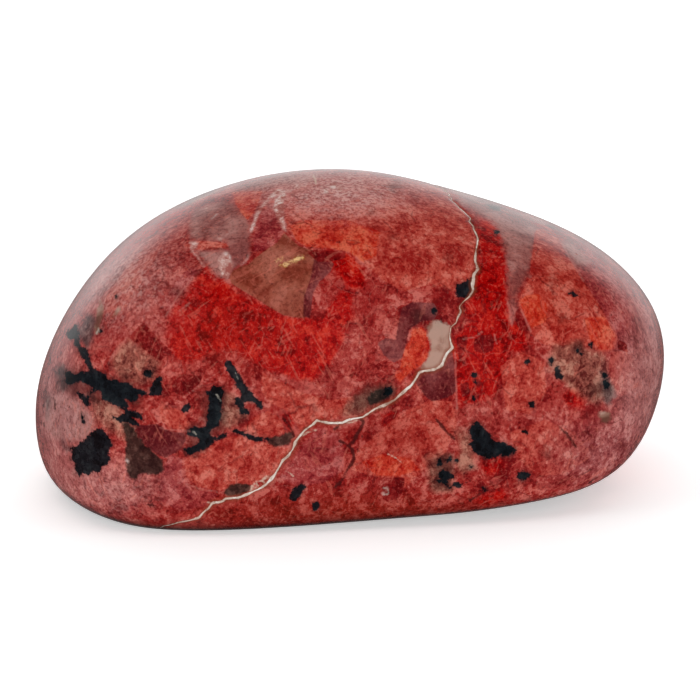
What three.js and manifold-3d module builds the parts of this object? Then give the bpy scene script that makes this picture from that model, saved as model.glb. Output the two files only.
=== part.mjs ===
// A polished rhodonite freeform: one tumbled-smooth, self-standing piece of pink and red
// rhodonite rock, about 105 mm long, ground flat underneath so that it rests without a stand.
// Millimetres, +Z up, X along the stone, the show face towards -Y. The origin is the middle
// of the base, on the surface that the stone rests on.

import * as THREE from "three";
import { mergeVertices } from "three/addons/utils/BufferGeometryUtils.js";
import Module from "manifold-3d";

// The point inside the stone from which every ground flat is measured.
const CORE = new THREE.Vector3(-2, -1.4, 18.3);

// The flats that the stone was ground to, before they were blended into each other.
// Azimuth is in degrees round +Z: 0 faces -Y, the show face, and 90 faces +X, the right end.
// Elevation is in degrees above the horizon. Distance is from the core to the flat, in mm.
const FLATS = [
  { name: "right end", azimuth: 90, elevation: 10, distance: 61.5 },
  { name: "right shoulder", azimuth: 90, elevation: 42, distance: 61 },
  { name: "long slope", azimuth: 90, elevation: 69, distance: 36 },
  { name: "crown", azimuth: -90, elevation: 72, distance: 37.5 },
  { name: "left shoulder", azimuth: -90, elevation: 36, distance: 45 },
  { name: "left end", azimuth: -90, elevation: -25, distance: 55.5 },
  { name: "left heel", azimuth: -90, elevation: -52, distance: 59.5 },
  { name: "right heel", azimuth: 90, elevation: -45, distance: 46.5 },
  { name: "front face", azimuth: 8, elevation: 4, distance: 28.5 },
  { name: "front brow", azimuth: 5, elevation: 50, distance: 36 },
  { name: "front right cheek", azimuth: 48, elevation: 5, distance: 49.5 },
  { name: "front left cheek", azimuth: -48, elevation: 0, distance: 50.5 },
  { name: "front left foot", azimuth: -30, elevation: -42, distance: 58 },
  { name: "front right foot", azimuth: 25, elevation: -60, distance: 43 },
  { name: "back face", azimuth: 188, elevation: 0, distance: 31.5 },
  { name: "back brow", azimuth: 182, elevation: 44, distance: 35 },
  { name: "back right cheek", azimuth: 132, elevation: 0, distance: 59 },
  { name: "back left cheek", azimuth: -132, elevation: 0, distance: 48.5 },
  { name: "back foot", azimuth: 180, elevation: -46, distance: 39.5 },
  { name: "underside", azimuth: 90, elevation: -88, distance: 19 },
];

// How tightly neighbouring flats meet: 2 would give a ball, and a large number sharp edges.
const EDGE_TIGHTNESS = 7;

// Steps along each edge of the grid that covers the stone, about 2 mm apart on the surface.
const GRID_STEPS = 28;

// The block that the flat base is cut with.
const CUTTER_SIDE = 200;

const STONE_COLOUR = "#b2463f";

// A flat's outward direction.
function outward({ azimuth, elevation }) {
  const round = THREE.MathUtils.degToRad(azimuth);
  const up = THREE.MathUtils.degToRad(elevation);
  return new THREE.Vector3(
    Math.sin(round) * Math.cos(up),
    -Math.cos(round) * Math.cos(up),
    Math.sin(up),
  );
}

// Distance from the core to the stone's surface along a unit direction.
function reach(direction, flats) {
  let sum = 0;
  for (const { normal, distance } of flats) {
    const towards = Math.max(direction.dot(normal), 0);
    sum += (towards / distance) ** EDGE_TIGHTNESS;
  }
  return sum ** (-1 / EDGE_TIGHTNESS);
}

// The rounded stone before its base is cut: a box grid blown out to a ball, evenly spaced,
// and then moved out to the blended flats.
function roundedStone() {
  const flats = FLATS.map((flat) => ({ normal: outward(flat), distance: flat.distance }));
  const grid = new THREE.BoxGeometry(2, 2, 2, GRID_STEPS, GRID_STEPS, GRID_STEPS);
  const places = grid.getAttribute("position");
  const direction = new THREE.Vector3();
  const evenly = (side) => Math.tan((side * Math.PI) / 4);
  for (let i = 0; i < places.count; i++) {
    direction.fromBufferAttribute(places, i);
    direction.set(evenly(direction.x), evenly(direction.y), evenly(direction.z)).normalize();
    direction.multiplyScalar(reach(direction, flats)).add(CORE);
    places.setXYZ(i, direction.x, direction.y, direction.z);
  }
  return grid;
}

// A closed geometry as a solid that can be cut.
function solidOf(wasm, geometry) {
  const bare = geometry.clone();
  bare.deleteAttribute("normal");
  bare.deleteAttribute("uv");
  const merged = mergeVertices(bare);
  return new wasm.Manifold(
    new wasm.Mesh({
      numProp: 3,
      vertProperties: merged.getAttribute("position").array,
      triVerts: new Uint32Array(merged.index.array),
    }),
  );
}

// A cut solid back as a geometry.
function geometryOf(solid) {
  const mesh = solid.getMesh();
  const geometry = new THREE.BufferGeometry();
  geometry.setAttribute("position", new THREE.BufferAttribute(mesh.vertProperties, 3));
  geometry.setIndex(new THREE.BufferAttribute(mesh.triVerts, 1));
  geometry.computeVertexNormals();
  return geometry;
}

// The stone with its base ground flat at z = 0.
function stoneGeometry(wasm) {
  const cutter = new THREE.BoxGeometry(CUTTER_SIDE, CUTTER_SIDE, CUTTER_SIDE);
  cutter.translate(0, 0, -CUTTER_SIDE / 2);
  return geometryOf(solidOf(wasm, roundedStone()).subtract(solidOf(wasm, cutter)));
}

const wasm = await Module();
wasm.setup();

const polishedStone = new THREE.MeshStandardMaterial({
  color: STONE_COLOUR,
  roughness: 0.15,
  metalness: 0,
});

const stone = new THREE.Mesh(stoneGeometry(wasm), polishedStone);
stone.name = "stone";

const freeform = new THREE.Group();
freeform.add(stone);

export default freeform;
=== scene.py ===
import math
import random

import bmesh
import bpy
import numpy as np
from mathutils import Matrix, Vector, noise


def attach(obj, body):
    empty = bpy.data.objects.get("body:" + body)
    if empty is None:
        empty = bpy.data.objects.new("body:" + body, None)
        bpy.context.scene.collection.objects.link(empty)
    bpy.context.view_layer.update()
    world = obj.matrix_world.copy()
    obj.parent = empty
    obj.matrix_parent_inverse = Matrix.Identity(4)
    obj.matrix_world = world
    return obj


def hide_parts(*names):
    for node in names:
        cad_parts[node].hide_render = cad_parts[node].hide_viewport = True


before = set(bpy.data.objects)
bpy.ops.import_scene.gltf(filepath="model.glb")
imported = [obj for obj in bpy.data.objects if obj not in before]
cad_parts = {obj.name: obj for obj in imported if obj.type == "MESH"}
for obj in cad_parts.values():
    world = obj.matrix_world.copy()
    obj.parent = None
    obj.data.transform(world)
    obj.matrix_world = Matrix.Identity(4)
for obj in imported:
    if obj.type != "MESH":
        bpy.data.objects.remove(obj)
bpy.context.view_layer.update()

# The view: the stone was photographed from about half a metre, a little above the height of
# its crown, looking straight at its broad show face. The picture is 700 x 700 pixels.
PICTURE = 700
SENSOR = 36.0
VIEW_AIM = Vector((-0.00017, -0.0014, 0.0227))
VIEW_DISTANCE = 0.500
VIEW_ABOVE = math.radians(14)
VIEW_LENS = 153.85

view_back = Vector((0.0, -math.cos(VIEW_ABOVE), math.sin(VIEW_ABOVE)))
view_place = VIEW_AIM + view_back * VIEW_DISTANCE
camera_data = bpy.data.cameras.new("Camera")
camera_data.lens = VIEW_LENS
camera_data.sensor_width = SENSOR
camera_data.clip_start = 0.01
camera_data.clip_end = 20.0
camera = bpy.data.objects.new("Camera", camera_data)
camera.location = view_place
camera.rotation_euler = view_back.to_track_quat("Z", "Y").to_euler()
bpy.context.scene.collection.objects.link(camera)
bpy.context.scene.camera = camera


# The stone: one piece of rhodonite rock, sawn roughly to shape, ground to twenty broad flats
# that were then blended into each other by hand, ground level underneath, and polished.
core = np.array([-0.0020, -0.0014, 0.0183])
EDGE_TIGHTNESS = 7
GROUND_FLATS = {
    # name: degrees round from the show face, degrees above the horizon, mm out from the core
    "right end": (90, 10, 61.5),
    "right shoulder": (90, 42, 61),
    "long slope": (90, 69, 36),
    "crown": (-90, 72, 37.5),
    "left shoulder": (-90, 36, 45),
    "left end": (-90, -25, 55.5),
    "left heel": (-90, -52, 59.5),
    "right heel": (90, -45, 46.5),
    "front face": (8, 4, 28.5),
    "front brow": (5, 50, 36),
    "front right cheek": (48, 5, 49.5),
    "front left cheek": (-48, 0, 50.5),
    "front left foot": (-30, -42, 58),
    "front right foot": (25, -60, 43),
    "back face": (188, 0, 31.5),
    "back brow": (182, 44, 35),
    "back right cheek": (132, 0, 59),
    "back left cheek": (-132, 0, 48.5),
    "back foot": (180, -46, 39.5),
    "underside": (90, -88, 19),
}
GRID_CUTS = 70
SHOW_FACE_TURN = 0.30


def direction(round_deg, up_deg):
    """The way that a flat faces, as a unit vector."""
    around, up = math.radians(round_deg), math.radians(up_deg)
    return (math.sin(around) * math.cos(up), -math.cos(around) * math.cos(up), math.sin(up))


flat_out = np.array([direction(a, e) for a, e, _ in GROUND_FLATS.values()])
flat_mm = np.array([mm for _, _, mm in GROUND_FLATS.values()])


def reach(way):
    """Metres from the core to the polished surface along unit directions."""
    pull = np.maximum(way @ flat_out.T, 0.0) / (flat_mm * 0.001)
    return (pull ** EDGE_TIGHTNESS).sum(1) ** (-1.0 / EDGE_TIGHTNESS)


def on_surface(points):
    """Points moved straight away from the core, or towards it, on to the polished surface."""
    way = points - core
    way /= np.linalg.norm(way, axis=1)[:, None]
    return core + way * reach(way)[:, None]


def polish():
    for vert, place in zip(stone_bm.verts, on_surface(np.array([v.co[:] for v in stone_bm.verts]))):
        vert.co = place
    stone_bm.normal_update()


stone_bm = bmesh.new()
bmesh.ops.create_cube(stone_bm, size=2.0)
bmesh.ops.subdivide_edges(stone_bm, edges=stone_bm.edges[:], cuts=GRID_CUTS, use_grid_fill=True)
for vert in stone_bm.verts:
    vert.co = Vector([math.tan(side * math.pi / 4) for side in vert.co]) + Vector(core)
polish()
for lengthways in (False, True):
    # the show face gets twice as many points each way, and twice as many again lengthways
    stone_bm.edges.index_update()
    shown_faces = [f for f in stone_bm.faces if f.normal.dot(view_back) > SHOW_FACE_TURN]
    split = {edge for face in shown_faces for edge in face.edges}
    if lengthways:
        split = {e for e in split if abs(e.verts[0].co.x - e.verts[1].co.x) > 0.8 * e.calc_length()}
    split = sorted(split, key=lambda e: e.index)
    bmesh.ops.subdivide_edges(stone_bm, edges=split, cuts=1, use_grid_fill=True)
    polish()
bmesh.ops.bisect_plane(
    stone_bm,
    geom=stone_bm.verts[:] + stone_bm.edges[:] + stone_bm.faces[:],
    dist=0.00002,
    plane_co=(0, 0, 0),
    plane_no=(0, 0, 1),
)
for vert in stone_bm.verts:
    vert.co.z = max(vert.co.z, 0.0)
bmesh.ops.triangulate(stone_bm, faces=[f for f in stone_bm.faces if len(f.verts) > 4])
stone_bm.normal_update()
for face in stone_bm.faces:
    face.smooth = max(v.co.z for v in face.verts) > 0.00001
stone_mesh = bpy.data.meshes.new("stone_body")
stone_bm.to_mesh(stone_mesh)
stone_bm.free()
stone = bpy.data.objects.new("stone_body", stone_mesh)
bpy.context.scene.collection.objects.link(stone)

place = np.array([v.co[:] for v in stone_mesh.vertices])
out = np.array([v.normal[:] for v in stone_mesh.vertices])


# The grains of the rock: crystals of red, rose and salmon rhodonite, grey and brown quartz, and
# black manganese oxide. Each was cut through by the polish, so it shows as a flat-sided patch.
# The patches of the show face are drawn by their corners in the picture's pixels.
# A mark is kept as the distance to its outline in millimetres, and those past FAR are alike.
FAR = 6.0
PIXEL_MM = 0.162
view_right = np.array([1.0, 0.0, 0.0])
view_up = np.array(view_back.cross(Vector((1.0, 0.0, 0.0))))
from_eye = place - np.array(view_place)
deep = -(from_eye @ np.array(view_back))
PIXELS_AT_ONE = VIEW_LENS / SENSOR * PICTURE
pixel = np.stack(
    [
        PICTURE / 2 + (from_eye @ view_right) / deep * PIXELS_AT_ONE,
        PICTURE / 2 - (from_eye @ view_up) / deep * PIXELS_AT_ONE,
    ],
    axis=1,
)
towards_eye = -from_eye / np.linalg.norm(from_eye, axis=1)[:, None]
facing = (out * towards_eye).sum(1)


def lumps(size):
    """Slow noise over the stone, with lumps about size metres across."""
    return np.array([noise.noise(Vector(p) / size) for p in place])


# The drawn marks run out raggedly where the surface turns away from the picture.
LAST_SEEN, RAGGED, FADE_MM = 0.06, 0.30, 40.0
turned_away = np.maximum(LAST_SEEN + RAGGED * lumps(0.007) - facing, 0.0) * FADE_MM


def edge_distance(points, corners):
    """Signed distance from points to a closed outline, negative inside it."""
    nearest = np.full(len(points), 1e9)
    crossings = np.zeros(len(points), int)
    for a, b in zip(corners, np.roll(corners, -1, axis=0)):
        side, off = b - a, points - a
        along = np.clip((off @ side) / max(side @ side, 1e-12), 0.0, 1.0)
        nearest = np.minimum(nearest, ((off - along[:, None] * side) ** 2).sum(1))
        if a[1] != b[1]:
            passes = (a[1] > points[:, 1]) != (b[1] > points[:, 1])
            crossings += passes & (points[:, 0] < side[0] * (points[:, 1] - a[1]) / side[1] + a[0])
    return np.sqrt(nearest) * np.where(crossings % 2 == 1, -1.0, 1.0)


def shown(patches):
    """Distance in mm to the nearest of some patches: their corners, across and down in pixels."""
    result = np.full(len(place), FAR)
    for corners in patches:
        corners = np.reshape(corners, (-1, 2)).astype(float)
        low = np.min(corners, axis=0) - FAR / PIXEL_MM
        high = np.max(corners, axis=0) + FAR / PIXEL_MM
        near = ((pixel > low) & (pixel < high)).all(1) & (facing > -0.1)
        mm = edge_distance(pixel[near], corners) * PIXEL_MM + turned_away[near]
        result[near] = np.minimum(result[near], mm)
    return result


def spots(places):
    """Distance in mm to the nearest of some round spots: across, down and radius in pixels."""
    result = np.full(len(place), FAR)
    for x, y, r in places:
        mm = (np.hypot(pixel[:, 0] - x, pixel[:, 1] - y) - r) * PIXEL_MM + turned_away
        result = np.minimum(result, mm)
    return result


def keep(name, *values):
    """Number each point of the mesh, by the nearest where there are several distances."""
    layer = stone_mesh.attributes.new(name, "FLOAT", "POINT")
    values = np.clip(np.min(values, axis=0), -FAR, FAR)
    layer.data.foreach_set("value", values.astype(np.float32))


chance = random.Random(9017)
hidden = np.flatnonzero((facing < 0.15) & (place[:, 2] > 0.0005))


def strewn(count, smallest, largest, narrow=1.0, sides=6, where=None):
    """Distance in mm to patches of the same kind, strewn over what the picture doesn't show."""
    result = np.full(len(place), FAR)
    for _ in range(count):
        middle = place[hidden[chance.randrange(len(hidden))]] if where is None else where
        normal = out[np.argmin(((place - middle) ** 2).sum(1))]
        across = np.cross(normal, [0.3, 0.5, 0.8])
        across /= np.linalg.norm(across)
        turn = chance.uniform(0, math.pi)
        along = across * math.cos(turn) + np.cross(normal, across) * math.sin(turn)
        beside = np.cross(normal, along)
        size = smallest * (largest / smallest) ** chance.random()
        corners = []
        slim = narrow * chance.uniform(0.55, 1.0)
        for k in range(sides):
            angle = 2 * math.pi * (k + chance.uniform(-0.4, 0.4)) / sides
            r = size * chance.uniform(0.65, 1.15)
            corners.append((r * math.cos(angle), r * slim * math.sin(angle)))
        if where is not None:
            middle = middle + along * size * 0.00035
        off = (place - middle) * 1000
        near = ((off ** 2).sum(1) < (size * 1.3 + FAR) ** 2) & (out @ normal > 0.2)
        flat = np.stack([off[near] @ along, off[near] @ beside], axis=1)
        mm = edge_distance(flat, np.array(corners)) + np.maximum(facing[near], 0.0) * 8.0
        result[near] = np.minimum(result[near], mm)
    return result


# Deep red rhodonite: the clearest crystals, so the darkest: a broad field left of the middle,
# a tall column right of the crack, and small slips that lie across paler grains.
keep("deep_red", shown([
    [170,312, 182,299, 192,285, 200,273, 207,268, 213,280, 222,280, 230,287, 240,292, 250,298,
     262,303, 270,311, 283,317, 300,319, 320,317, 334,302, 344,288, 354,292, 352,318, 342,344,
     330,366, 312,380, 290,378, 262,366, 236,350, 212,352, 192,362, 176,358, 166,338],
    [479,217, 493,220, 503,236, 507,262, 508,290, 508,304, 516,316, 523,330, 531,341, 524,352,
     510,352, 507,372, 496,392, 478,402, 458,406, 456,392, 455,360, 453,350, 457,336, 468,322,
     466,304, 474,293, 477,270, 479,250],
    [563,394, 577,385, 587,395, 583,405, 567,407],
    [306,250, 330,249, 352,254, 364,268, 366,284, 356,292, 345,286, 334,270, 322,260],
    [382,422, 385,417, 393,414, 398,416, 391,421, 384,424],
    [530,280, 537,277, 545,285, 549,298, 544,306, 536,296],
    [482,456, 500,454, 508,464, 500,476, 486,472],
    [281,415, 290,414, 293,423, 289,430, 283,424],
    [470,500, 500,490, 508,496, 486,506],
]), strewn(9, 5.0, 13.0))

# Ruby-dark rhodonite: small clear crystals with crisp straight sides.
keep("ruby", shown([
    [128.5,337, 139,326, 144,323, 151,330, 160,340, 172.6,352.6, 160,361, 149,353.6, 139,345],
    [179.6,374, 204,376, 198,385, 190,391, 183,396, 171.5,391, 174,381],
    [381,486, 387,482, 395,478, 402,477, 405,480, 404,488, 401,497, 396,499, 388,502, 383,500,
     383,492],
    [515,312, 519,308, 523,316, 529,331, 520,331, 516,322],
    [474,340, 482,335, 491,334, 494,342, 493,350, 484,354, 474,351],
    [382,422, 385,417, 393,414, 398,416, 391,421, 384,424],
    [281,415, 288,414, 292,421, 288,428, 284,423],
    [457,338, 468,334, 466,350, 460,362, 457,352],
    [460,384, 468,382, 470,394, 462,398],
    [618,340, 626,343, 628,353, 617,349],
    [306,252, 316,250, 346,251, 344,259, 330,262, 318,262],
]), strewn(6, 1.6, 4.0, sides=5))

# Salmon rhodonite: bright grains with sharp straight sides, the largest two near the top
# right of the middle and on the right.
keep("salmon", shown([
    [284,196, 300,184, 340,176, 400,178, 443,190, 464,211, 474,229, 476,250, 472,280, 455,290,
     430,284, 405,292, 385,282, 363,263, 350,253, 330,248, 307,247, 296,240, 290,232, 286,224,
     283,210],
    [535,231, 545,229, 556,235, 562,246, 566,256, 572,263, 578,272, 584,283, 590,293, 597,303,
     603,313, 608,322, 613,330, 618,338, 616,345, 612,352, 600,352, 590,348, 578,343, 565,345,
     553,345, 545,345, 537,340, 531,332, 527,322, 523,314, 519,307, 519,301, 522,292, 527,284,
     530,275, 531,263, 533,250, 534,240],
    [612,352, 622,351, 630,355, 634,362, 638,370, 640,380, 636,388, 622,396, 612,388, 608,372,
     610,360],
    [244,428, 250,420, 258,415, 268,411, 278,416, 283,425, 285,432, 275,437, 262,438, 250,434],
    [262,372, 300,392, 330,400, 356,396, 352,408, 336,418, 316,419, 300,430, 290,412, 272,404,
     262,392],
    [160,406, 172,408, 184,412, 190,424, 186,430, 172,429, 160,420],
    [400,414, 430,400, 452,402, 457,424, 446,452, 424,470, 400,492, 404,478, 380,478, 352,470,
     356,452, 374,436],
    [510,432, 545,420, 575,432, 592,456, 566,474, 536,476, 516,456],
    [104,300, 118,280, 142,250, 156,232, 164,240, 150,270, 132,300, 112,322],
    [500,366, 522,352, 544,362, 546,392, 530,414, 506,410],
    [184,461, 190,455, 200,450, 212,444, 222,440, 232,436, 240,436, 250,440, 262,442, 272,444,
     284,448, 290,449, 286,456, 281,464, 275,473, 266,478, 252,484, 240,486, 225,490, 213,490,
     203,487, 192,482, 186,475],
    [184,246, 190,243, 200,241, 225,243, 229,248, 215,249, 205,250, 192,250],
]), strewn(12, 5.0, 12.0))

# Rose rhodonite: cloudier, pinker grains between the red ones.
keep("rose", shown([
    [254,252, 253,238, 256,226, 262,212, 270,203, 274,210, 279,222, 284,232, 278,242, 266,250],
    [317,427, 337,433, 345,450, 343,470, 323,483, 297,487, 280,477, 297,453],
    [479,217, 492,218, 499,232, 503,250, 498,258, 486,254, 480,240],
    [578,268, 590,258, 600,262, 612,275, 625,295, 632,312, 636,330, 633,345, 628,353, 618,348,
     619,338, 610,322, 600,305, 590,290],
    [572,238, 585,240, 597,248, 600,256, 590,258, 580,250],
    [170,454, 182,458, 182,476, 192,488, 218,494, 206,506, 180,512, 160,500, 160,474],
    [165,300, 176,282, 190,268, 198,270, 190,284, 180,298, 168,312],
]), strewn(10, 4.0, 10.0))

# Orange rhodonite, where iron has stained the grains.
keep("orange", shown([
    [232,192, 262,191, 259,202, 254,212, 248,220, 242,214, 236,204],
    [290,226, 300,220, 350,221, 380,232, 376,256, 363,262, 350,253, 330,248, 307,247, 296,240],
    [412,328, 424,328, 429,338, 430,350, 428,358, 420,366, 410,372, 400,382, 394,376, 400,366,
     404,350, 410,340],
    [519,301, 526,295, 538,293, 548,306, 546,322, 532,328, 524,314],
    [584,318, 604,316, 616,336, 612,350, 600,350, 590,340],
    [362,462, 384,454, 410,458, 420,470, 400,476, 376,476],
]), strewn(6, 3.0, 6.0))

# Quartz: grey-pink and glassy, in the hollows between the crystals.
keep("quartz", shown([
    [190,226, 193,210, 204,206, 222,200, 232,203, 241,212, 249,222, 250,240, 249,256, 242,266,
     233,271, 228,280, 218,276, 205,262, 196,251, 228,249, 228,243, 196,241, 190,236],
    [449,187, 470,192, 490,200, 510,207, 530,214, 545,222, 548,228, 537,230, 534,240, 533,250,
     531,262, 527,275, 520,288, 517,298, 518,312, 512,322, 508,300, 508,280, 508,265, 505,250,
     501,238, 497,226, 489,219, 480,214, 470,208, 462,204],
    [46,396, 60,392, 78,400, 90,412, 95,428, 84,440, 66,442, 50,436, 44,416],
    [560,242, 566,250, 572,260, 577,268, 584,264, 592,262, 584,255, 578,247, 570,240],
    [232,190, 240,182, 290,172, 320,172, 316,184, 280,184, 262,190],
]), strewn(8, 4.0, 10.0))

# Brown quartz: the smoky, see-through grain with a scratch that glints, and its smaller likes.
keep("brown", shown([
    [229,277, 233,271, 240,267, 248,265, 256,258, 264,252, 278,242, 284,233, 292,240, 300,247,
     312,250, 318,256, 314,270, 309,284, 304,298, 305,312, 306,318, 292,317, 283,315, 268,306,
     258,300, 250,295, 240,289, 232,284],
]), strewn(4, 3.0, 7.0))

# Plum-coloured grains: dark, purplish rhodonite seen through quartz.
keep("plum", shown([
    [316,251, 324,254, 334,264, 330,272, 320,282, 313,292, 312,303, 310,318, 303,317, 303,303,
     306,290, 310,280],
    [420,373, 430,371, 440,368, 446,358, 450,351, 453,353, 454,362, 455,375, 456.5,392, 448,397,
     440,400, 432,401, 427,398, 421,390, 416,384, 415,380],
    [133.6,425, 159,424, 166,430, 184,433, 186,440, 180,450, 165,458, 150,450, 139,439],
    [402,308, 412,302, 434,303, 438,312, 434,320, 420,322, 409,330, 406,344, 402,358, 394,363,
     384,355, 377,343, 386,338, 396,340, 398,324],
]), strewn(6, 3.0, 7.0))

# Tan and brown-grey ground, speckled with manganese, that fills the gaps in the lower half.
keep("tan", shown([
    [128,341, 155,357, 162,362, 158,372, 163,378, 150,380, 140,386, 125,380, 115,372, 110,366,
     118,352],
    [553,346, 575,342, 592,350, 606,356, 607,372, 613,390, 597,407, 577,392, 560,382, 550,372],
    [222,392, 236,396, 238,408, 246,416, 240,424, 228,430, 219,426, 222,410],
    [340,414, 350,404, 366,392, 388,384, 396,388, 390,398, 372,408, 356,416],
    [453,430, 466,430, 474,446, 474,466, 462,478, 455,462, 460,446],
    [426,458, 438,452, 452,456, 456,474, 452,492, 436,492, 427,476],
    [90,396, 110,402, 126,410, 134,428, 126,440, 112,430, 96,422],
]), strewn(7, 3.0, 7.0))

# Grey-green haze: manganese minerals just under the surface.
keep("haze", shown([
    [89,314, 94.6,317, 96.7,321, 95.6,329, 95,336, 92,343, 90,347.5, 86,348.5, 83,341, 80,335,
     78,331, 80,328, 83,323, 86,318],
    [63,364, 66,369, 68,373, 67.4,382, 68.5,386, 65,391, 60,391.5, 58,385, 60,380, 56,375, 56,371,
     61,366],
    [46,391, 50,394, 50,408, 48,419, 45,408],
    [600,371, 606,372, 613,385, 616,397, 608,405, 602,398, 601,384],
    [61,444, 63,440, 66,447, 74,447, 72,452, 64,450],
    [498,445, 508,447, 517,451, 511,456, 500,456],
]), strewn(5, 2.0, 5.0, narrow=0.5))

# Milky quartz that fills the crack's wide mouth.
keep("milky", shown([
    [426,326, 434,321, 445,322, 450,327, 450,333, 451,341, 452,349, 447,354, 444,361, 440,367,
     433,370, 424,371, 417,373, 424,364, 429,356, 431,348, 430,340],
    [599,412, 604,411, 610,412, 611,418, 607,424, 602,422, 600,418],
    [112,317, 118,308, 121,307, 119,314, 114,318],
    [100,300, 104,305, 102,320, 98,334, 95,332, 97,318],
]))

# Black manganese oxide: needles, blades and ragged spots that grew along the crystal edges.
black = shown([
    [66,371.5, 71,372.6, 76,375.6, 81,373, 90,371.5, 97,372, 102,373.6, 106,376, 107,380, 115,380,
     120,383, 126,383, 131,386, 134,389.5, 139,391, 144,391.5, 146,393.6, 142,395, 138,394.6,
     137,399, 134.6,401, 129.5,400, 124,397, 122,399, 126,403, 128.5,407, 125,408, 119,406,
     114,404, 108,401, 103,400, 102,395.6, 102,391.5, 95.6,389.5, 92.6,386, 87,383, 81,380, 76,382,
     71,384, 67,384],
    [74,341, 79,341, 81,347, 87,349.5, 89,355.6, 90.5,363, 93.6,368, 98,371.5, 101,373, 104,374,
     106,377, 90.5,371, 88,365, 84,359, 81,353.6, 78,347, 75,344],
    [75,325, 77,325, 77,331, 80,334, 79,339, 75,338, 71,339, 68,337, 67,334, 69.5,330, 73,328.5],
    [78,392.6, 83,394.6, 87,396.7, 90.5,391.5, 93.6,389.5, 95,391, 90.5,394.6, 87,400, 89.5,405,
     87,405, 83,401, 80,396],
    [82,414.6, 83,416, 85,425, 83,422, 81,418],
    [124,409, 129.5,410.5, 137,412.6, 141,415.6, 143,420, 139,418, 132.6,416.7, 127,415],
    [112.6,417, 118,417.7, 123,414.6, 128.5,417, 133.6,420, 137,423, 139,425, 132.6,425, 128.5,422,
     122,421, 117,420],
    [90,435, 95.6,430, 101,428.5, 104,433, 108,436, 109,441, 112,445, 108,449, 107,455, 110,459,
     106,464, 101,466, 99,472, 92,471, 88,475, 82,472, 79,476, 75,470, 76,463, 71,459, 74,453,
     72,448, 78,446, 81,442, 85,441],
    [145,371, 152.6,370.5, 152,376, 148,377, 144,375],
    [161,377, 161,388.5, 162,394.6, 149.5,394.6, 151,387, 156,379],
    [181,411, 185,406, 189.5,404, 190,408, 185,412],
    [225,364.6, 226,361.7, 230,361, 234,367, 239.6,376, 245,385, 251,393.5, 256,399, 261.5,402,
     262.7,408.5, 260,409, 254.6,403, 249,401.5, 243,401.5, 241,399, 242,393.5, 238.5,388, 234,380,
     229,373],
    [236,398, 241,399, 244,403, 242,407, 248,411, 248,414, 243,414, 240,413, 238.5,407, 236,404],
    [206,392, 211,390.6, 213.7,386, 221,388, 223.5,391, 221,399, 222,403, 220.6,411, 221,419,
     218,422, 218,426, 213,428, 208.5,433, 211,437, 215,437, 222,435, 227,433, 226,436, 219,438.5,
     214,440, 211,444, 204,448, 198,450.6, 190,454, 185,451, 183,449, 191,449, 196,445, 201.5,442,
     199,437, 192,436, 186.5,433, 191,428, 196,427, 200,428.6, 206,427, 208.5,420, 206,416.5,
     208.5,411, 209.6,403, 209,396],
    [231,430, 236,430, 241,431.5, 249,434, 254.6,437, 261.5,438, 268,439, 261.5,440.4, 256,441,
     250,438.5, 243,435, 236,433.4],
    [456.5,285, 459,284, 463,283, 466,281, 470,279, 472,277, 472.5,283, 473,288, 472,292, 470,296,
     466,298, 462,297.5, 458,296.5, 456.5,292],
    [470,430, 472,426, 475,423, 478,421.5, 481,425, 482,428, 485,431, 487,434, 490,436, 489,439,
     493,441, 496,442, 501,443, 505,444, 508,446, 511,446, 514,449, 517,450, 513,452, 510,455,
     504,455, 500,454, 497,456, 493,457, 489,459, 484,457, 479,455, 474,451, 472,447, 470,444,
     473,441, 472,436, 471,433],
    [555,368, 557,367, 559,370, 562,376, 562,379, 557,379, 555,374],
    [549,360, 552,357, 553,360, 551,365, 549,364],
    [438,474, 440,471, 444,470, 446,472, 450,473, 454,476, 453,478, 449,477, 447,480, 447,484,
     445,485, 443,480, 440,477],
    [453,482, 457,481, 461,484, 460,487, 456,487, 453,485],
    [438,460, 440,459, 441,464, 438,465],
    [446,461, 451,457, 451,460, 447,463],
    [517,476, 520,473, 524,472, 531,474, 527,477, 524,480, 520,480],
    [569,293, 572,292, 577,295, 576,297, 572,296],
    [290,496, 292,491, 297,487, 303,484, 306,486, 302,490, 300,495, 295,500, 291,500],
    [313,508, 313,504, 318,502, 319,505, 316,509],
    [434,324, 438,322, 442,321, 440,325, 436,327],
    [522,431, 525,430, 528,433, 526,434],
    [601,373, 605,373, 608,377, 603,379],
    [386,388, 391,388, 393,393, 388,396, 384,393],
])
black = np.minimum(black, spots([
    (434,311, 2.6), (474,375, 2.6), (476,382, 1.3), (527,362, 2.2), (532,404, 2.4), (591,345, 2),
    (578,351, 1.2), (581,354, 1.4), (497,232, 1.6), (449,487, 1.6), (484,488, 2), (474,398, 1.4),
    (606,385, 3), (101,331, 1.6), (117,297, 1.4), (471,467, 1.2), (456,461, 1.6), (439,481, 1.2),
]))
black = np.minimum(black, strewn(10, 1.5, 5.0, narrow=0.35, sides=9))
black = np.minimum(black, strewn(12, 0.8, 2.2, narrow=0.8, sides=8))
BLACK_WIDER_MM = 0.12
SPRAYS_MM = ((-50, 6, 20), (-46, 15, 13), (-41, 22, 25), (-30, 31, 12), (22, 32, 18), (40, 20, 24))
for spray in SPRAYS_MM:
    middle = place[np.argmin(((place - np.array(spray) * 0.001) ** 2).sum(1))]
    black = np.minimum(black, strewn(3, 1.6, 5.0, narrow=0.62, sides=9, where=middle))
keep("black", black - BLACK_WIDER_MM)

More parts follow.
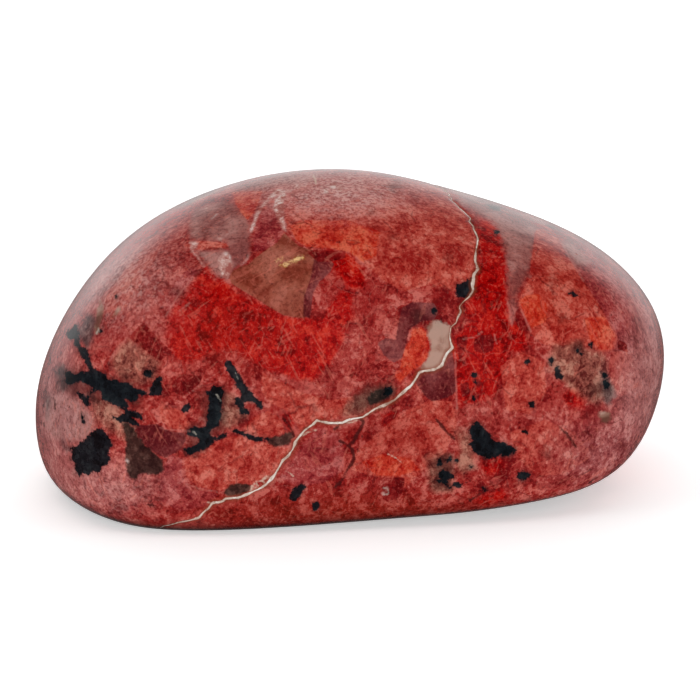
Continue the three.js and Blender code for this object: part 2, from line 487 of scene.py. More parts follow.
# Olive-grey blades: the same mineral, seen through a thin skin of quartz.
keep("olive", shown([
    [123,422, 128.5,422, 132.6,427, 137,431.5, 139,437, 143,442, 150,449, 158,455, 164,462,
     164,470, 158,475, 148,474, 140,474, 136,480, 130,478, 126,470, 125,450, 127,442, 125,434,
     122,427],
    [223,491, 230,485, 240,483, 250,484, 252,488, 245,494, 235,496, 226,497],
    [367,398, 374,391, 384,388, 392,390, 390,396, 380,402, 370,406],
    [268,438, 280,436, 290,430, 294,436, 288,444, 276,447, 268,444],
    [486,204, 500,206, 502,210, 490,209],
    [546,225, 556,228, 562,232, 548,230],
]), strewn(4, 1.5, 4.0, narrow=0.4))

# Dark stains: soft brown and grey clouds round the manganese and in a few grains.
keep("stain", shown([
    [430,456, 452,454, 456,470, 452,490, 434,488],
    [464,430, 474,420, 494,438, 518,448, 508,458, 480,458],
    [350,404, 358,392, 372,382, 392,384, 394,394, 378,404, 360,412],
    [60,366, 84,370, 110,374, 148,388, 140,410, 112,408, 80,396, 60,392],
    [198,392, 224,386, 226,430, 206,446, 186,452, 186,430, 202,424],
]), spots([
    (392,238, 3), (370,213, 2), (393,188, 4), (547,455, 3.5), (447,258, 1.5), (600,388, 9),
    (416,314, 7), (552,280, 2.5), (564,318, 2.5), (580,345, 5), (178,291, 4), (523,476, 6),
    (606,415, 4),
]))


def lines(paths):
    """Distance in mm to the nearest of some thin lines: half width in mm, then their points."""
    result = np.full(len(place), FAR)
    for half, *points in paths:
        points = np.reshape(points, (-1, 2)).astype(float)
        for a, b in zip(points, points[1:]):
            side, off = b - a, pixel - a
            along = np.clip((off @ side) / (side @ side), 0.0, 1.0)
            mm = np.sqrt(((off - along[:, None] * side) ** 2).sum(1)) * PIXEL_MM - half + turned_away
            result = np.minimum(result, mm)
    return result


# Dark hair cracks filled with manganese: the fissure that drops from the crack, and fine
# streaks near the rims.
keep("fissure", lines([
    [0.3, 360,419, 364,422, 361,428, 357,434, 354,441, 350,444],
    [0.22, 340,441, 346,444, 352,449, 354,457, 353,462],
    [0.24, 353,462, 348,469, 344,477, 339,483, 335,487], [0.2, 334,430, 340,424, 346,423],
    [0.24, 436,419, 445,430, 454,438], [0.2, 560,428, 566,433, 571,440, 576,447],
    [0.14, 51,353, 49,365], [0.14, 54.6,399, 55.6,410], [0.14, 43,423, 44,427],
    [0.16, 578,477, 584,474, 590,470], [0.16, 589,483, 597,476],
    [0.06, 205,249, 220,249, 229,248], [0.16, 470,500, 484,491, 500,490],
    [0.16, 283,418, 290,427, 294,436],
]))

# White crust: the scar of an old break along the top of two grains, and a few pale flecks. The
# flecks on the crown are partly painted highlight haze, and the two on the small ruby block low in
# the middle are a painted glint.
keep("crust_and_glint", shown([
    [264,202, 272,193, 278,189, 287,190, 285,193, 277,194, 270,199, 264,206, 259,214, 256,222,
     252,232, 249,232, 252,224, 256,213, 260,207],
    [275,200, 281,194, 287,190, 283,202, 283,212, 285,222, 286,231, 283,229, 279,222, 275,214,
     273,207],
    [190,243, 197,242, 197,249, 191,249],
    [240,266, 246,259, 249,252, 251,254, 247,261, 241,267],
    [217,262, 224,252, 229,252, 233,266, 228,278, 221,275, 219,268],
]), spots([
    (333,185, 3.2), (340,188, 2.4), (326,191, 2.2), (387,489, 1.6), (384,494, 1.2), (127,461, 1.4),
    (220,239, 2), (227,233, 1.2), (207,207, 1.4), (229,266, 1.6), (531,276, 1.4), (297,186, 1.6),
]), lines([
    [0.16, 192,251, 197,257, 204,266], [0.1, 212,219, 218,212],
]))

# Hair-thin cleavage planes, seen edge on as pink lines where two crystals meet.
keep("plane", lines([
    [0.12, 178,312, 190,303], [0.12, 183,398, 199,386, 215,374],
    [0.14, 508,302, 510,314, 512,326], [0.12, 455,352, 456,380, 457,410],
    [0.12, 494,334, 497,344], [0.14, 563,246, 572,262, 584,282],
    [0.14, 620,276, 634,300, 644,326, 652,344], [0.12, 628,300, 636,318, 641,334],
    [0.12, 612,262, 628,280, 642,304], [0.12, 150,222, 172,208, 196,198],
    [0.12, 100,286, 122,250, 146,226], [0.12, 463,339, 475,337, 482,332],
    [0.12, 112,306, 136,276, 150,262], [0.12, 166,316, 178,296, 192,278],
    [0.14, 286,196, 296,190, 310,186], [0.12, 160,428, 174,430, 190,431],
    [0.12, 186,484, 200,489, 218,492], [0.12, 128,337, 116,350, 108,364],
    [0.12, 519,303, 524,316, 531,332],
]))

# Fine white veins that branch off the crack.
keep("vein", lines([
    [0.16, 271,477, 266,477, 262,481, 256,482, 252,486, 251,491],
    [0.12, 256,482, 258,486, 254,490], [0.12, 262,481, 266,484, 262,487],
    [0.14, 303,435, 309,432, 316,430], [0.12, 286,471, 290,473, 293,476],
    [0.16, 208,502, 212,504, 214,503], [0.14, 312,174, 315,178, 316,183],
    [0.12, 346,423, 352,422, 357,420], [0.1, 388,454, 396,458, 402,463],
]))

# Painted highlights: gold and white glints, where a scratch and two flaws catch the light inside
# the quartz and the black.
keep("painted_gold_glint", lines([
    [0.22, 283,265, 290,263, 297,259, 302,257], [0.05, 276,262, 281,259],
]))
keep("glint", lines([
    [0.06, 234.4,371.5, 236.5,375.5, 238.5,380], [0.06, 217,394.6, 219,398, 221,401],
    [0.1, 193,431, 196,434], [0.12, 383,488, 388,489, 389,493, 385,496],
    [0.1, 97,334, 100,328, 104,327],
]))

# The crack: an old break, healed with white quartz and calcite, that runs all the way round
# the stone. On the show face it comes over the crown and leaves at the lower left.
CRACK_ON_FACE = [
    # across and down in pixels, then half its width in mm
    (443,188, 0.08), (451,199, 0.1), (464,211, 0.1), (474,229, 0.14), (478,238, 0.12),
    (476,250, 0.12), (475,260, 0.16), (478,269, 0.2), (474,274, 0.22), (472.5,285, 0.24),
    (473,291, 0.2), (469,297, 0.14), (463,302, 0.07), (459,307, 0.1), (461,311, 0.2),
    (458,317, 0.12), (456,323, 0.07), (451,327, 0.07), (449.5,336, 0.07), (451,343, 0.16),
    (452.5,348, 0.2), (447,353, 0.22), (444,360, 0.2), (441,366, 0.24), (434,370, 0.22),
    (424,371, 0.2), (419,373, 0.24), (415,380, 0.2), (412,385, 0.18), (406,390, 0.2),
    (400,395, 0.18), (395,400, 0.18), (387,404, 0.2), (380,407, 0.24), (375,409, 0.16),
    (369,413, 0.14), (363,417, 0.16), (355,418.5, 0.12), (348,420, 0.18), (342,423, 0.2),
    (330,423, 0.18), (317,421, 0.2), (311,426, 0.16), (305,430, 0.16), (300,436, 0.18),
    (295,443, 0.22), (293,449, 0.18), (289,455, 0.22), (283,460, 0.16), (280,466, 0.13),
    (275,474, 0.14), (271,479, 0.26), (267,484, 0.2), (259,489, 0.16), (252,492, 0.15),
    (246,495, 0.16), (238,497.5, 0.22), (226,499, 0.2), (221,502, 0.16), (213,503, 0.24),
    (209,508, 0.2), (203,513, 0.16), (199,518, 0.18), (189,521, 0.14), (178,523, 0.12),
    (163,526.5, 0.1),
]
CRACK_HIDDEN_WIDTH = 0.16
CRACK_BEHIND = [
    # millimetres along, back and up, under the stone, up its back and over the crown
    (-30, -26, 1), (-26, -18, 0), (-20, -6, 0), (-12, 8, 0), (-8, 22, 0), (-3, 30, 5), (0, 33, 14),
    (6, 33, 24), (8, 30, 33), (11, 24, 42), (12, 16, 48), (14, 8, 50),
]


def surface_at(x, y):
    """The point of the stone that a pixel of the picture shows."""
    ray = (
        view_right * (x - PICTURE / 2) / PIXELS_AT_ONE
        - view_up * (y - PICTURE / 2) / PIXELS_AT_ONE
        - np.array(view_back)
    )
    steps = np.linspace(VIEW_DISTANCE - 0.05, VIEW_DISTANCE + 0.05, 2001)
    points = np.array(view_place) + steps[:, None] * ray
    off = points - core
    far = np.linalg.norm(off, axis=1)
    inside = far < reach(off / far[:, None])
    return points[np.argmax(inside)] if inside.any() else points[np.argmin(far)]


crack = np.concatenate([
    [surface_at(x, y) for x, y, _ in CRACK_ON_FACE],
    on_surface(np.array(CRACK_BEHIND) * 0.001),
])
crack[:, 2] = np.maximum(crack[:, 2], 0.0)
crack_width = [mm for _, _, mm in CRACK_ON_FACE] + [CRACK_HIDDEN_WIDTH] * len(CRACK_BEHIND)

# Between those points it wanders a little, and more where the points are far apart.
STEP_MM, LONG_MM = 1.1, 4.0
WANDER, LONG_WANDER = 0.00015, 0.00045
ragged = random.Random(41)
finer = []
bends = np.column_stack([crack, crack_width])
for a, b in zip(bends, np.roll(bends, -1, axis=0)):
    length = np.linalg.norm((b - a)[:3]) * 1000
    steps = max(1, int(length / STEP_MM))
    for k in range(steps):
        point = a + (b - a) * k / steps
        wander = np.array([ragged.uniform(-1, 1) for _ in range(3)])
        point[:3] += wander * (LONG_WANDER if length > LONG_MM else WANDER) * (k > 0)
        finer.append(point)
finer = np.array(finer)
crack, crack_width = on_surface(finer[:, :3]), finer[:, 3]
crack[:, 2] = np.maximum(crack[:, 2], 0.0)

# How far each point is from the crack, and on which side of it.
crack_next = np.roll(crack, -1, axis=0)
crack_side = np.cross((crack + crack_next) / 2 - core, crack_next - crack)
crack_side /= np.linalg.norm(crack_side, axis=1)[:, None]
nearest = np.full(len(place), 1e9)
beside, half_width = np.zeros(len(place)), np.ones(len(place))
for k in range(len(crack)):
    after = (k + 1) % len(crack)
    step = crack[after] - crack[k]
    along = ((place - crack[k]) @ step) / (step @ step)
    held = np.clip(along, 0.0, 1.0)
    off = place - crack[k] - held[:, None] * step
    lean = crack_side[k] + np.zeros_like(place)
    lean[along < 0] += crack_side[k - 1]
    lean[along > 1] += crack_side[after]
    far = (off ** 2).sum(1)
    closer = far < nearest
    nearest[closer] = far[closer]
    beside[closer] = (np.sqrt(far) * 1000 * np.sign((off * lean).sum(1)))[closer]
    half_width[closer] = (crack_width[k] + (crack_width[after] - crack_width[k]) * held)[closer]
keep("crack", beside / half_width)
keep("crack_near", np.sqrt(nearest) * 1000)

# Light and dark over the stone: paler where the rock is cloudy, darker where it is clear, and
# painted reflection haze and painted shade in some zones. These broad parts of the show face are
# given as across, down, half width and half height, in pixels.
ZONES = {
    "crown": (335, 190, 90, 28),
    "left slope": (120, 275, 60, 60),
    "left end": (55, 410, 35, 60),
    "lower left": (110, 490, 70, 35),
    "broad red field": (220, 335, 90, 55),
    "slab": (350, 225, 80, 35),
    "red column": (500, 325, 35, 65),
    "salmon block": (555, 300, 45, 45),
    "middle": (390, 435, 80, 35),
    "foot": (350, 515, 200, 28),
    "right end": (645, 385, 35, 70),
    "lower right": (590, 455, 55, 40),
}

# The zones fade out where the surface turns away from the show face.
TURNED_AWAY = 0.2


def soft(amounts):
    """How strong a tone is over the stone, from a soft cloud on each zone named."""
    result = np.zeros(len(place))
    for zone, amount in amounts.items():
        x, y, half_width, half_height = ZONES[zone]
        across, down = (pixel[:, 0] - x) / half_width, (pixel[:, 1] - y) / half_height
        result += amount * np.exp(-(across ** 2 + down ** 2))
    return result * np.clip(facing / TURNED_AWAY, 0.0, 1.0)


# Pale and cloudy on the crown and round the rim, dark in the middle and along the foot. The pale
# crown and rim are partly painted reflection haze, and the dark along the foot is painted shade.
keep("cloud_sheen_and_shade", soft({"crown": 0.9, "left slope": 0.6, "left end": 0.6, "lower left": 0.5,
                   "right end": 0.6, "middle": -0.3, "foot": -0.3}))

# The clearest rock, where the red is deepest.
keep("clear", soft({"broad red field": 0.5, "red column": 0.5, "middle": 0.5}))

# Iron stain on the red field, the slab and the salmon block, and an orange-brown tint along the foot.
keep("warm", soft({"broad red field": 0.4, "slab": 0.4, "salmon block": 0.5, "foot": 0.7}))

# Cool quartz, mostly towards the two ends, where the grey tint is partly painted rim reflection.
keep("mauve", soft({"left end": 0.8, "lower left": 0.4, "right end": 0.9, "lower right": 0.7,
                    "crown": 0.3}))

# White frosting, where the surface was bruised before it was polished; on the crown it is partly
# painted highlight haze from the light overhead.
keep("frost_and_sheen", soft({"crown": 0.7, "left slope": 0.5, "lower left": 0.3}))


# Painted contact shadow: near the foot, on the faces that turn down towards the floor, the colour
# sinks to a dark line.
keep("foot", np.clip(-out[:, 2] * 1.6 - 0.45, 0.0, 1.0) * np.clip(1.3 - place[:, 2] / 0.0035, 0.0, 1.0))

# Relief: the polish has dipped along the crack and over the soft manganese, and the hand-held
# grinding has left the faces very slightly uneven.
CRACK_DIP, CRACK_WIDE = 0.00014, 0.35
BLACK_DIP = 0.00005
UNEVEN, UNEVEN_SIZE = 0.00016, 0.016
dip = CRACK_DIP * np.exp(-((beside / CRACK_WIDE) ** 2))
dip += BLACK_DIP * np.clip(-black / 0.5, 0.0, 1.0)
uneven = lumps(UNEVEN_SIZE) * UNEVEN
above_base = np.clip(place[:, 2] / 0.002, 0.0, 1.0)
moved = place + out * ((uneven - dip) * above_base)[:, None]
stone_mesh.vertices.foreach_set("co", moved.astype(np.float32).ravel())
stone_mesh.update()

# The polish and the colours, mixed through the rock from where each grain lies. A colour is
# named as the eye sees it, in red, green and blue from 0 to 255.
rock = bpy.data.materials.new("polished_rhodonite")
rock.use_nodes = True
tree = rock.node_tree
tree.nodes.clear()
surface = tree.nodes.new("ShaderNodeBsdfPrincipled")
output = tree.nodes.new("ShaderNodeOutputMaterial")
tree.links.new(surface.outputs["BSDF"], output.inputs["Surface"])
surface.inputs["IOR"].default_value = 1.5
surface.inputs["Specular IOR Level"].default_value = 0.30
surface.inputs["Metallic"].default_value = 0.0
where = tree.nodes.new("ShaderNodeTexCoord").outputs["Object"]


def put(value, socket):
    """Link a socket to another node, or give it a number or a colour."""
    if isinstance(value, tuple):
        light = [((c / 255 + 0.055) / 1.055) ** 2.4 if c > 10 else c / 255 / 12.92 for c in value]
        socket.default_value = (*light, 1.0)
    elif isinstance(value, (int, float)):
        socket.default_value = value
    else:
        tree.links.new(value, socket)


def number(operation, *values):
    node = tree.nodes.new("ShaderNodeMath")
    node.operation = operation
    for value, socket in zip(values, node.inputs):
        put(value, socket)
    return node.outputs[0]


def times(a, b):
    return number("MULTIPLY", a, b)


def total(*parts):
    """The sum of some values, each with its weight."""
    result = 0.0
    for value, weight in parts:
        result = number("MULTIPLY_ADD", value, weight, result)
    return result


def shaken(value, by, amount):
    """A value made uneven by some noise, as much up as down."""
    return number("MULTIPLY_ADD", number("SUBTRACT", by, 0.5), amount, value)


def spread(value, low, high, to_low=0.0, to_high=1.0):
    """Ease from one number to another while a value goes from low to high."""
    node = tree.nodes.new("ShaderNodeMapRange")
    node.interpolation_type = "SMOOTHSTEP"
    for given, socket in zip((value, low, high, to_low, to_high), node.inputs):
        put(given, socket)
    return node.outputs["Result"]


def blend(amount, under, top, how="MIX"):
    node = tree.nodes.new("ShaderNodeMix")
    node.data_type = "RGBA"
    node.blend_type = how
    for k, value in ((0, amount), (6, under), (7, top)):
        put(value, node.inputs[k])
    return node.outputs[2]


def kept(name):
    node = tree.nodes.new("ShaderNodeAttribute")
    node.attribute_name = name
    return node.outputs["Fac"]


def clouds(size_mm, detail=3.0, roughness=0.55, seed=0.0, vary=0.0, turn=0.0, stretch=1.0):
    """Soft three-dimensional noise, 0 to 1, with blots about size_mm across."""
    shift = tree.nodes.new("ShaderNodeMapping")
    shift.vector_type = "TEXTURE"
    shift.inputs["Location"].default_value = (seed, seed * 0.7, -seed * 0.4)
    shift.inputs["Rotation"].default_value = (0.0, turn, turn * 0.4)
    shift.inputs["Scale"].default_value = (1.0, 1.0, stretch)
    tree.links.new(where, shift.inputs["Vector"])
    node = tree.nodes.new("ShaderNodeTexNoise")
    tree.links.new(shift.outputs["Vector"], node.inputs["Vector"])
    node.inputs["Scale"].default_value = 1000.0 / size_mm
    node.inputs["Detail"].default_value = detail
    node.inputs["Roughness"].default_value = roughness
    node.inputs["Distortion"].default_value = vary
    return node.outputs["Fac"]


def crystals(size_mm, seed, joints=False):
    """One random number for each crystal about size_mm across, or how far off its joints are."""
    finer, detail, push_mm = (1800, 3, 0.4) if joints else (1500, 4, 0.45)
    uneven = tree.nodes.new("ShaderNodeTexNoise")
    uneven.inputs["Scale"].default_value = finer / size_mm
    uneven.inputs["Detail"].default_value = detail
    tree.links.new(where, uneven.inputs["Vector"])
    push = tree.nodes.new("ShaderNodeVectorMath")
    push.operation = "MULTIPLY_ADD"
    tree.links.new(uneven.outputs["Color"], push.inputs[0])
    push.inputs[1].default_value = (size_mm * push_mm * 0.001,) * 3
    tree.links.new(where, push.inputs[2])
    shift = tree.nodes.new("ShaderNodeMapping")
    shift.inputs["Location"].default_value = (seed, -seed * 0.6, seed * 0.3)
    tree.links.new(push.outputs[0], shift.inputs["Vector"])
    cells = tree.nodes.new("ShaderNodeTexVoronoi")
    cells.inputs["Scale"].default_value = 1000.0 / size_mm
    tree.links.new(shift.outputs["Vector"], cells.inputs["Vector"])
    if joints:
        cells.feature = "DISTANCE_TO_EDGE"
        return cells.outputs["Distance"]
    part = tree.nodes.new("ShaderNodeSeparateColor")
    tree.links.new(cells.outputs["Color"], part.inputs["Color"])
    return part.outputs[0]


middle = clouds(5.0, 5.0, 0.65, 0.02, 0.5)
small = clouds(1.8, 5.0, 0.7, 0.03, 0.4)
fine = clouds(0.5, 3.0, 0.7, 0.04)
edge = clouds(1.1, 5.0, 0.75, 0.05)
broad_edge = clouds(3.5, 5.0, 0.7, 0.06)
jagged = total((edge, 0.55), (fine, 0.45))
big_grain, small_grain, grit = crystals(8.0, 0.013), crystals(2.4, 0.021), crystals(0.9, 0.037)

# How clear or cloudy the rock is from spot to spot, the same for every kind of grain. Its
# fibres run upwards in some places and across in others.
upwards = spread(clouds(9.0, 2.0, 0.5, 0.20), 0.47, 0.53)
fibre = number("ADD", times(clouds(1.0, 5.0, 0.7, 0.18, 0.3, turn=0.35, stretch=4.5), upwards),
               times(clouds(1.0, 5.0, 0.7, 0.19, 0.3, turn=-0.95, stretch=4.5),
                     number("SUBTRACT", 1.0, upwards)))
cloudy = total((shaken(middle, small_grain, 0.10), 0.40), (small, 0.32), (fibre, 0.16), (fine, 0.12))
cloudy = shaken(cloudy, grit, 0.07)
calm = total((clouds(6.0, 2.0, 0.5, 0.21, 0.4), 0.85), (small, 0.15))


def mottled(clear, mean, milky, clear_at=0.42, milky_at=0.58, how=cloudy):
    """A grain's colour, from where it is clear to where it is cloudy."""
    low = blend(spread(how, clear_at, 0.50), clear, mean)
    return blend(spread(how, 0.50, milky_at), low, milky)


def inside(name, ragged_mm, soft_mm, wobble):
    """How far inside a kind of grain a point is: 0 outside and 1 inside, with a worn edge."""
    return spread(shaken(kept(name), wobble, ragged_mm * 2.0), -soft_mm, soft_mm, 1.0, 0.0)


def over(name, ragged_mm, soft_mm, amount, top, wobble=edge):
    """A kind of grain laid over the colour that is there."""
    return blend(times(inside(name, ragged_mm, soft_mm, wobble), amount), colour, top)


# The ground mass: mixed grains, each one a little redder or paler than the next.
colour = mottled((118, 12, 16), (164, 44, 40), (204, 104, 94))
for grain, low, high, amount, other in (
    (big_grain, 0.44, 0.47, 0.55, mottled((148, 34, 32), (178, 66, 60), (206, 116, 106))),
    (big_grain, 0.78, 0.81, 0.65, mottled((118, 6, 10), (154, 18, 18), (182, 58, 50))),
    (small_grain, 0.84, 0.87, 0.16, (206, 116, 106)),
    (small_grain, 0.16, 0.13, 0.20, (122, 10, 16)),
):
    colour = blend(times(spread(grain, low, high), amount), colour, other)

# The drawn grains: how ragged and how soft their edges are in mm, and how much they cover.
colour = over("rose", 0.5, 0.2, 0.80, mottled((134, 30, 38), (168, 62, 62), (196, 106, 102)))
colour = over("deep_red", 1.6, 0.6, 0.95,
              mottled((122, 0, 3), (178, 4, 4), (206, 46, 28), 0.41, 0.60), broad_edge)
colour = over("quartz", 1.0, 0.7, 0.85,
              mottled((136, 78, 74), (158, 104, 98), (184, 132, 124), how=calm))
colour = over("salmon", 0.35, 0.10, 0.94, mottled((156, 30, 26), (190, 70, 58), (216, 116, 100)))
colour = over("orange", 0.4, 0.2, 0.88, mottled((176, 20, 12), (204, 58, 36), (222, 100, 70)))
colour = over("brown", 0.2, 0.12, 0.95,
              mottled((132, 58, 42), (154, 82, 64), (174, 102, 84), how=calm))
colour = over("plum", 0.3, 0.15, 0.85, mottled((82, 18, 26), (102, 36, 40), (130, 66, 66), how=calm))
colour = over("tan", 1.4, 0.8, 0.75,
              mottled((78, 36, 32), (142, 86, 72), (186, 136, 114)), broad_edge)

# Iron stain and an orange-brown tint along the foot, cool quartz tint that is partly painted rim
# reflection, pale cloudiness that is partly painted reflection haze, painted shade, and clear depth.
warmth, sheen_shade_tone = kept("warm"), kept("cloud_sheen_and_shade")
colour = blend(times(spread(warmth, 0.0, 1.0, 0.0, 0.9), spread(cloudy, 0.40, 0.60, 0.9, 0.5)),
               colour, (176, 58, 22), "SOFT_LIGHT")
colour = blend(spread(warmth, 0.1, 1.0, 0.0, 0.30), colour, (160, 62, 32))
# cool grey tint: quartz, and towards the ends partly painted rim reflection
colour = blend(spread(kept("mauve"), 0.0, 1.0, 0.0, 0.60), colour,
               mottled((112, 56, 60), (148, 94, 96), (184, 138, 138)))
# paler pink where the tone is above zero: cloudy rock, and on the crown and rims painted reflection
# haze
colour = blend(times(spread(sheen_shade_tone, 0.0, 1.2, 0.0, 0.92), spread(cloudy, 0.38, 0.58, 0.58, 1.0)),
               colour, (212, 152, 146))
# darker where the tone is below zero: clearer rock in the middle, and painted shade along the foot
colour = blend(spread(sheen_shade_tone, 0.0, -0.7, 0.0, 0.75), colour, (150, 66, 66), "MULTIPLY")
colour = blend(spread(kept("clear"), 0.0, 1.0, 0.0, 0.85), colour, (240, 110, 110), "MULTIPLY")
# pale frosting: bruised skin, and on the crown partly painted highlight haze
colour = blend(times(spread(kept("frost_and_sheen"), 0.0, 1.0, 0.0, 0.75), spread(jagged, 0.47, 0.58)),
               colour, (232, 196, 188))
colour = over("ruby", 0.25, 0.10, 0.88, mottled((92, 4, 8), (122, 12, 16), (152, 34, 32)))

# Seams between crystals, threads and pits.
for size, seed, blot, blot_seed, thin, strength, tone in (
    (5.0, 0.017, 7.0, 0.12, 0.018, 0.15, (216, 130, 118)),
    (7.0, 0.031, 5.0, 0.14, 0.026, 0.5, (84, 20, 24)),
):
    shows = spread(clouds(blot, 3.0, 0.6, blot_seed), 0.50, 0.60)
    colour = blend(times(spread(crystals(size, seed, True), 0.0, thin, strength, 0.0), shows),
                   colour, tone)
for k, (turn, stretch, size) in enumerate(((0.35, 9.0, 0.55), (-0.55, 8.0, 0.6), (1.15, 9.0, 0.65))):
    thread = clouds(size, 1.0, 0.5, 0.31 + 0.07 * k, 0.0, turn, stretch)
    shows = spread(clouds(6.0, 3.0, 0.6, 0.15 + 0.05 * k), 0.46, 0.60)
    colour = blend(times(spread(thread, 0.60, 0.68, 0.0, 0.24), shows), colour, (228, 120, 102))
    colour = blend(times(spread(thread, 0.40, 0.32, 0.0, 0.20), shows), colour, (120, 20, 20))
colour = blend(spread(fine, 0.36, 0.5, 0.38, 0.0), colour, (120, 20, 22), "MULTIPLY")
colour = blend(spread(fine, 0.54, 0.70, 0.0, 0.20), colour, (222, 120, 104))
pitted = spread(clouds(12.0, 2.0, 0.5, 0.16), 0.46, 0.60)
colour = blend(times(spread(clouds(1.3, 3.0, 0.65, 0.09), 0.66, 0.72, 0.0, 0.7), pitted),
               colour, (56, 16, 18))

# Haze, stains and the black manganese, and the pale marks over them.
colour = over("haze", 0.9, 0.6, 0.75, mottled((34, 38, 40), (70, 66, 66), (118, 104, 100)))
colour = over("stain", 2.2, 1.1, 0.60, (52, 26, 24), broad_edge)
colour = over("olive", 0.7, 0.25, 0.90, mottled((18, 20, 19), (38, 34, 30), (78, 58, 50)))
colour = over("black", 1.6, 0.6, 0.50, (60, 34, 34), broad_edge)
colour = over("fissure", 0.5, 0.15, 0.85, (62, 18, 18))
black_here = inside("black", 1.05, 0.10, jagged)
colour = blend(times(black_here, 0.96), colour,
               mottled((3, 10, 14), (9, 22, 28), (30, 42, 46), 0.42, 0.62))
colour = over("milky", 0.9, 0.3, 0.90,
              mottled((104, 66, 54), (150, 110, 94), (186, 152, 136), 0.42, 0.58, calm))
# white crust and pale flecks; some of the flecks are painted highlights
colour = over("crust_and_glint", 0.8, 0.30, 0.85,
              mottled((170, 92, 84), (204, 150, 140), (236, 214, 206), 0.44, 0.56), small)
colour = over("plane", 0.25, 0.15, 0.45, (206, 128, 118))
colour = over("vein", 0.3, 0.12, 0.85, (218, 186, 166))
# painted highlight: the golden glint of a scratch in the brown quartz
colour = over("painted_gold_glint", 1.5, 0.35, 0.85,
              mottled((140, 76, 40), (204, 132, 64), (255, 216, 150), 0.45, 0.55))
# painted highlights: white glints on the black needles and a few grains
colour = over("glint", 0.5, 0.12, 0.60, (190, 182, 168))

# The crack's white quartz, which is wider and narrower by turns, and its brown lips.
crack_near = kept("crack_near")
off_crack = number("ABSOLUTE", shaken(shaken(kept("crack"), edge, 1.1), fine, 0.6))
width = shaken(0.95, clouds(1.6, 3.0, 0.6, 0.11), 2.6)
in_crack = times(spread(number("SUBTRACT", off_crack, width), -0.35, 0.25, 1.0, 0.0),
                 spread(crack_near, 0.6, 1.0, 1.0, 0.0))
lips = times(spread(off_crack, 0.8, 4.0, 0.6, 0.0), spread(crack_near, 0.8, 1.6, 1.0, 0.0))
colour = blend(lips, colour, (134, 62, 40))
colour = blend(times(in_crack, 0.94), colour,
               mottled((168, 130, 112), (218, 196, 180), (242, 232, 222)))
# painted contact shadow: the dark line near the foot
colour = blend(times(kept("foot"), 0.92), colour, (26, 12, 12))
tree.links.new(colour, surface.inputs["Base Color"])

# A high polish, duller on the manganese and in the crack, over a skin that is finely pitted.
rough = number("MAXIMUM", spread(small, 0.3, 0.8, 0.10, 0.20), times(black_here, 0.26))
tree.links.new(number("MAXIMUM", rough, times(in_crack, 0.5)), surface.inputs["Roughness"])
skin = total((small, 0.6), (fine, 0.25), (in_crack, -1.2), (times(black_here, fine), -1.0))
bump = tree.nodes.new("ShaderNodeBump")
bump.inputs["Strength"].default_value = 0.35
bump.inputs["Distance"].default_value = 0.00006
tree.links.new(skin, bump.inputs["Height"])
tree.links.new(bump.outputs["Normal"], surface.inputs["Normal"])

stone_mesh.materials.append(rock)
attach(stone, "root")
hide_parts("stone")


# The floor: a plain, matt, nearly white sheet of paper, which the stone stands on. It gives
# back a little light of its own, so that the picture's ground is white.
floor_bm = bmesh.new()
bmesh.ops.create_grid(floor_bm, x_segments=2, y_segments=2, size=3.0)
floor_mesh = bpy.data.meshes.new("floor")
floor_bm.to_mesh(floor_mesh)
floor_bm.free()
floor = bpy.data.objects.new("floor", floor_mesh)
bpy.context.scene.collection.objects.link(floor)
floor_paint = bpy.data.materials.new("floor_paper")
floor_paint.use_nodes = True
paper = floor_paint.node_tree.nodes["Principled BSDF"]
paper.inputs["Base Color"].default_value = (0.93, 0.93, 0.93, 1.0)
paper.inputs["Roughness"].default_value = 0.9
paper.inputs["Specular IOR Level"].default_value = 0.0
paper.inputs["Emission Color"].default_value = (1.0, 1.0, 1.0, 1.0)
paper.inputs["Emission Strength"].default_value = 0.46
floor_mesh.materials.append(floor_paint)
floor.visible_glossy = False


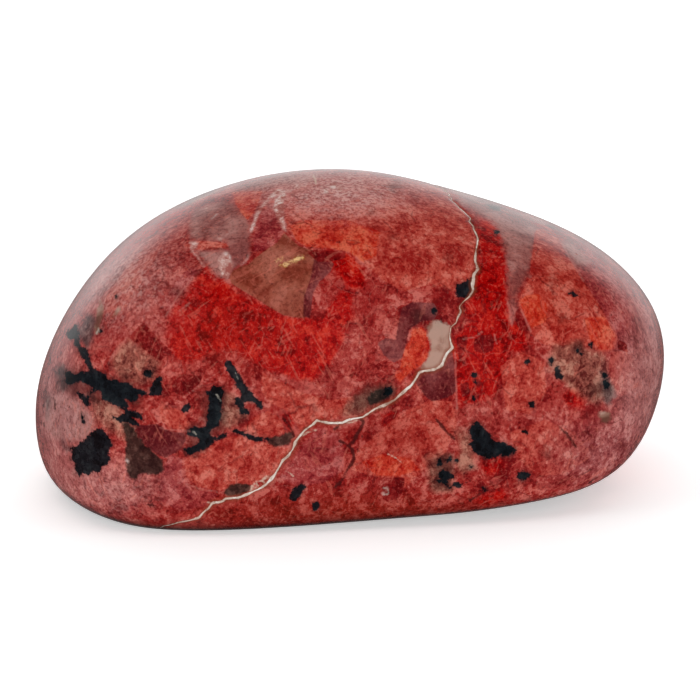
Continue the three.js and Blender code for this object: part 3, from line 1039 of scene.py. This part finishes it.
# The light: a white room with wide soft boxes above and at both sides, and a dim wall behind
# the camera, so that the middle of the stone shows its own colour.
MIDDLE = Vector((0.0, 0.0, 0.025))
for name, at, wide_m, tall_m, watts in (
    ("over", (0.0, 0.2, 0.9), 1.7, 1.3, 7.5),
    ("left", (-0.8, -0.20, 0.45), 0.5, 0.6, 1.2),
    ("right", (0.8, -0.20, 0.40), 0.5, 0.6, 1.0),
    ("behind", (0.0, 0.9, 0.35), 0.9, 0.6, 1.6),
    ("fill", (0.0, -0.9, 0.30), 0.9, 0.6, 3.2),
):
    lamp = bpy.data.lights.new(name, "AREA")
    lamp.shape = "RECTANGLE"
    lamp.size, lamp.size_y, lamp.energy = wide_m, tall_m, watts
    box = bpy.data.objects.new(name, lamp)
    box.location = at
    box.rotation_euler = (Vector(at) - MIDDLE).to_track_quat("Z", "Y").to_euler()
    box.visible_glossy = False
    bpy.context.scene.collection.objects.link(box)

# The room's walls: white to the camera, and to the stone brightest behind it, at its height.
world = bpy.data.worlds.new("Room")
bpy.context.scene.world = world
world.use_nodes = True
tree = world.node_tree
tree.nodes.clear()
seen, lit = (tree.nodes.new("ShaderNodeBackground") for _ in range(2))
for wall in (seen, lit):
    wall.inputs["Color"].default_value = (1.0, 1.0, 1.0, 1.0)
seen.inputs["Strength"].default_value = 1.0
axes = tree.nodes.new("ShaderNodeSeparateXYZ")
tree.links.new(tree.nodes.new("ShaderNodeTexCoord").outputs["Generated"], axes.inputs["Vector"])
behind = spread(axes.outputs["Y"], 0.30, 1.00, 0.05, 0.85)
level = times(spread(axes.outputs["Z"], 0.10, 0.60, 1.0, 0.22),
              spread(axes.outputs["Z"], -0.25, 0.05, 0.12, 1.0))
tree.links.new(times(behind, level), lit.inputs["Strength"])
choose = tree.nodes.new("ShaderNodeMixShader")
ray = tree.nodes.new("ShaderNodeLightPath")
tree.links.new(ray.outputs["Is Camera Ray"], choose.inputs["Fac"])
tree.links.new(lit.outputs["Background"], choose.inputs[1])
tree.links.new(seen.outputs["Background"], choose.inputs[2])
sky = tree.nodes.new("ShaderNodeOutputWorld")
tree.links.new(choose.outputs["Shader"], sky.inputs["Surface"])
bpy.context.scene.view_settings.view_transform = "Standard"
